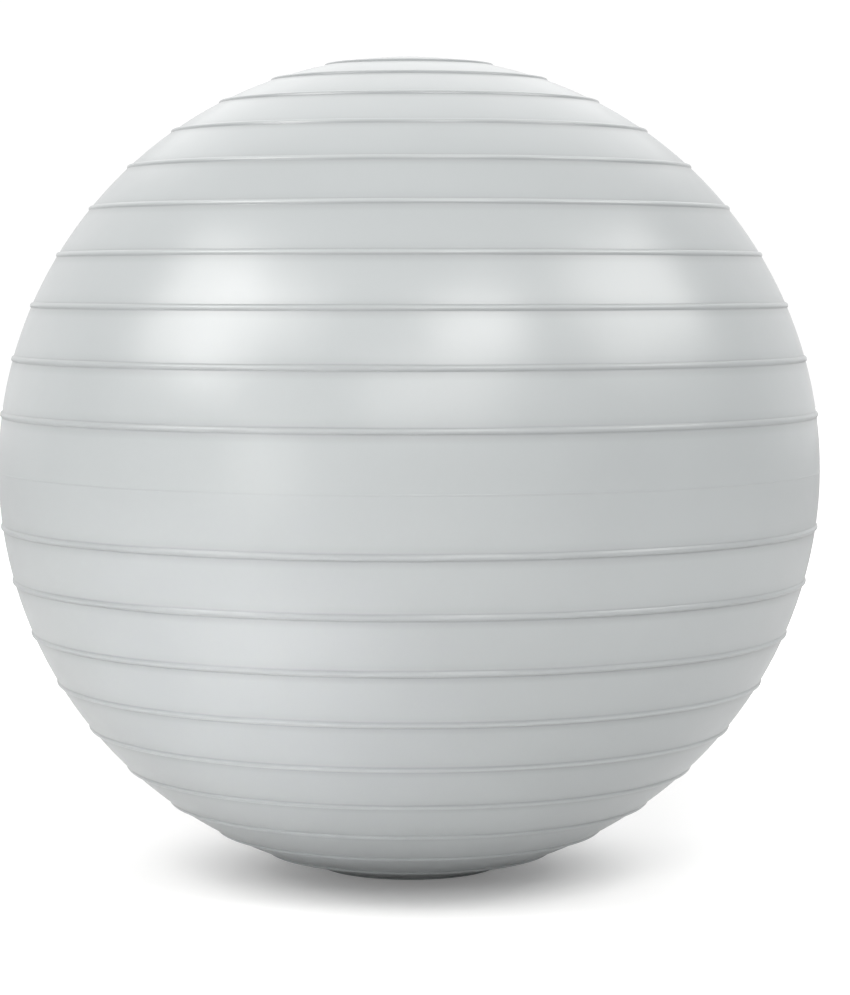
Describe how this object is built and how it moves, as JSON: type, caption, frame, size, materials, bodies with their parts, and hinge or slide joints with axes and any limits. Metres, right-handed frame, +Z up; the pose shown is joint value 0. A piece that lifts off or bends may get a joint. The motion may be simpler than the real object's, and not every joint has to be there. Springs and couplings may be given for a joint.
{
  "type": "exercise ball",
  "caption": "Inflated gym ball with a thin ribbed vinyl skin, a smooth band around the middle, a recessed valve seat and a push-in plug.",
  "frame": {"origin": "on the floor, at the middle of the patch that the ball flattens under its own weight", "axes": "+Z up along the ball's polar axis, which the ribs circle; +Y to the back, where the valve is; +X to the right seen from the front"},
  "size_m": [0.6504, 0.6504, 0.6484],
  "materials": {
    "skin": "satin cool light grey soft PVC, fine moulded grain",
    "seat": "satin light grey soft PVC, a shade darker than the skin",
    "plug": "milky white polyethylene, slightly translucent"
  },
  "bodies": {
    "ball": {"ball_shell": "skin", "valve_seat": "seat"},
    "plug": {"plug": "plug"}
  },
  "joints": [
    {"name": "plug_pull", "type": "slide", "parent": "ball", "child": "plug", "axis": [0, 0.9977, 0.0685], "range_m": [0, 0.055]}
  ]
}
